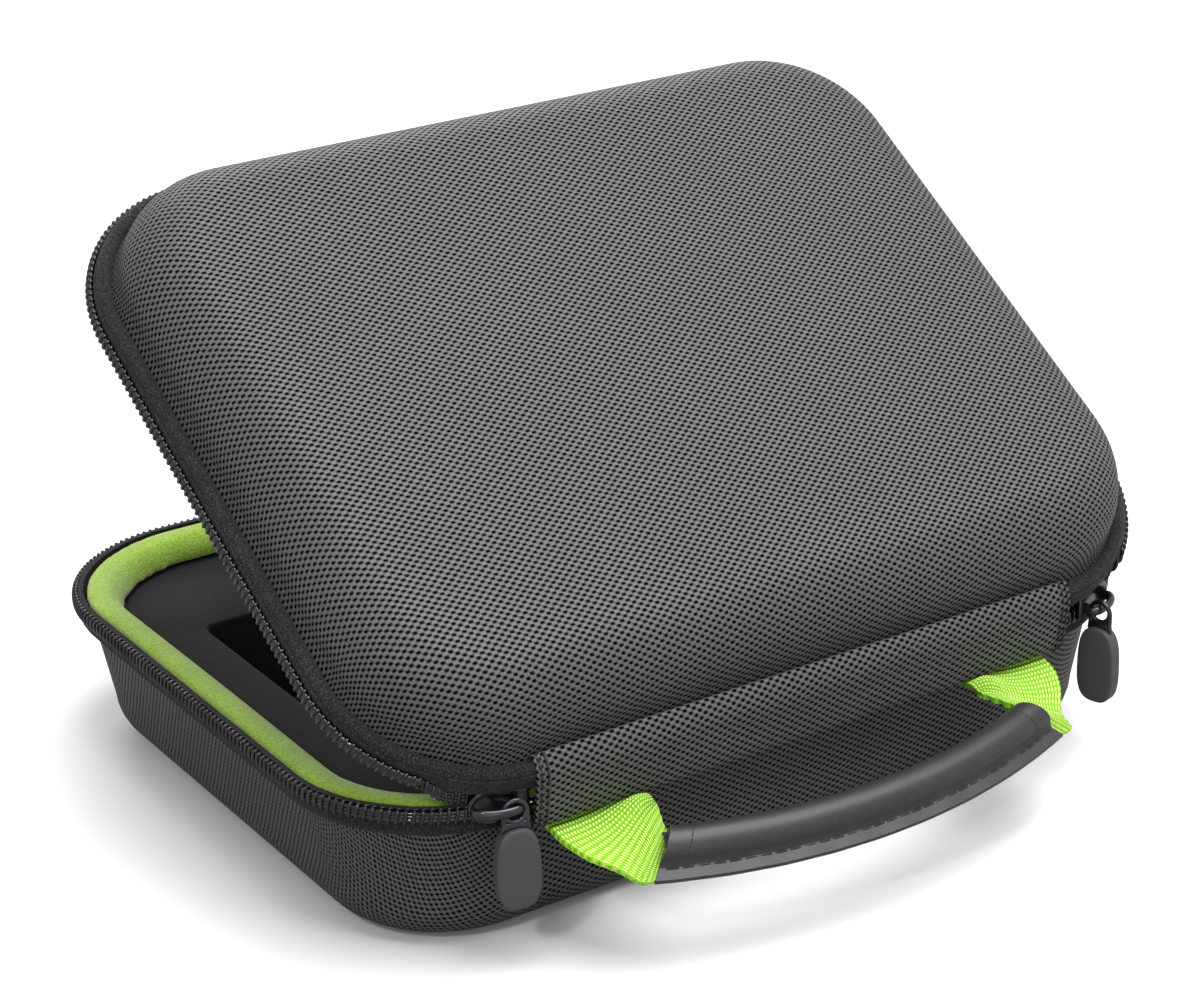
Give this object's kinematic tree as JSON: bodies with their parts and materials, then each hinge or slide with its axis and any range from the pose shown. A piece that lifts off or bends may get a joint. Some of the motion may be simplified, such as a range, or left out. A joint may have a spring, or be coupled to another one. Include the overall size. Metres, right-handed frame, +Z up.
{
  "type": "hard-shell carrying case",
  "caption": "Hard-shell zipped carrying case with a hinged lid, foam pocket insert, fleece rim, two zip sliders and a webbing carry handle.",
  "frame": {"origin": "middle of the base's flat underside", "axes": "+Z up, +X along the fabric hinge, -Y towards the hinge and handle side"},
  "size_m": [0.2342, 0.2225, 0.1531],
  "materials": {
    "nylon": "coarse basket-weave nylon, matt",
    "zip_tape": "felted woven tape",
    "zip_coil": "glossy nylon coil",
    "fleece": "soft lime fleece",
    "foam": "closed-cell foam with a fine nap",
    "lining": "knitted lining",
    "webbing": "ribbed lime webbing",
    "leatherette": "smooth satin leatherette",
    "slider_metal": "dark gunmetal enamel",
    "grip_rubber": "matt moulded rubber"
  },
  "bodies": {
    "base": {"base_shell": "nylon", "base_zip_tape": "zip_tape", "base_zip_coil": "zip_coil", "base_collar": "fleece", "foam_insert": "foam", "pocket_pad": "foam", "hinge_panel": "nylon", "strap_tab_left": "webbing", "strap_tab_right": "webbing"},
    "lid": {"lid_shell": "nylon", "lid_zip_tape": "zip_tape", "lid_zip_coil": "zip_coil", "lid_collar": "fleece", "lid_lining": "lining"},
    "handle": {"handle_strap": "webbing", "handle_core": "foam", "handle_sleeve": "leatherette"},
    "slider_left": {"slider_left": "slider_metal"},
    "slider_right": {"slider_right": "slider_metal"},
    "pull_left": {"pull_link_left": "slider_metal", "pull_grip_left": "grip_rubber"},
    "pull_right": {"pull_link_right": "slider_metal", "pull_grip_right": "grip_rubber"}
  },
  "joints": [
    {"name": "lid_hinge", "type": "hinge", "parent": "base", "child": "lid", "pos_m": [0, -0.0955, 0.038], "axis": [1, 0, 0], "range_deg": [-32, 68], "deforming": ["hinge_panel", "lid_collar"]},
    {"name": "handle_swing", "type": "hinge", "parent": "base", "child": "handle", "pos_m": [0, -0.0894, 0.0329], "axis": [1, 0, 0], "range_deg": [-10, 42]},
    {"name": "slider_left_run", "type": "hinge", "parent": "base", "child": "slider_left", "pos_m": [-0.0765, -0.0525, 0], "axis": [0, 0, -1], "range_deg": [-1, 66]},
    {"name": "slider_right_run", "type": "hinge", "parent": "base", "child": "slider_right", "pos_m": [0.0765, -0.0525, 0], "axis": [0, 0, 1], "range_deg": [-9, 58]},
    {"name": "pull_left_swing", "type": "hinge", "parent": "slider_left", "child": "pull_left", "pos_m": [-0.08356, -0.09772, 0.042], "axis": [-0.9781, 0.2079, 0], "range_deg": [0, 95]},
    {"name": "pull_right_swing", "type": "hinge", "parent": "slider_right", "child": "pull_right", "pos_m": [0.08978, -0.0963, 0.042], "axis": [-0.9397, -0.342, 0], "range_deg": [0, 95]}
  ]
}
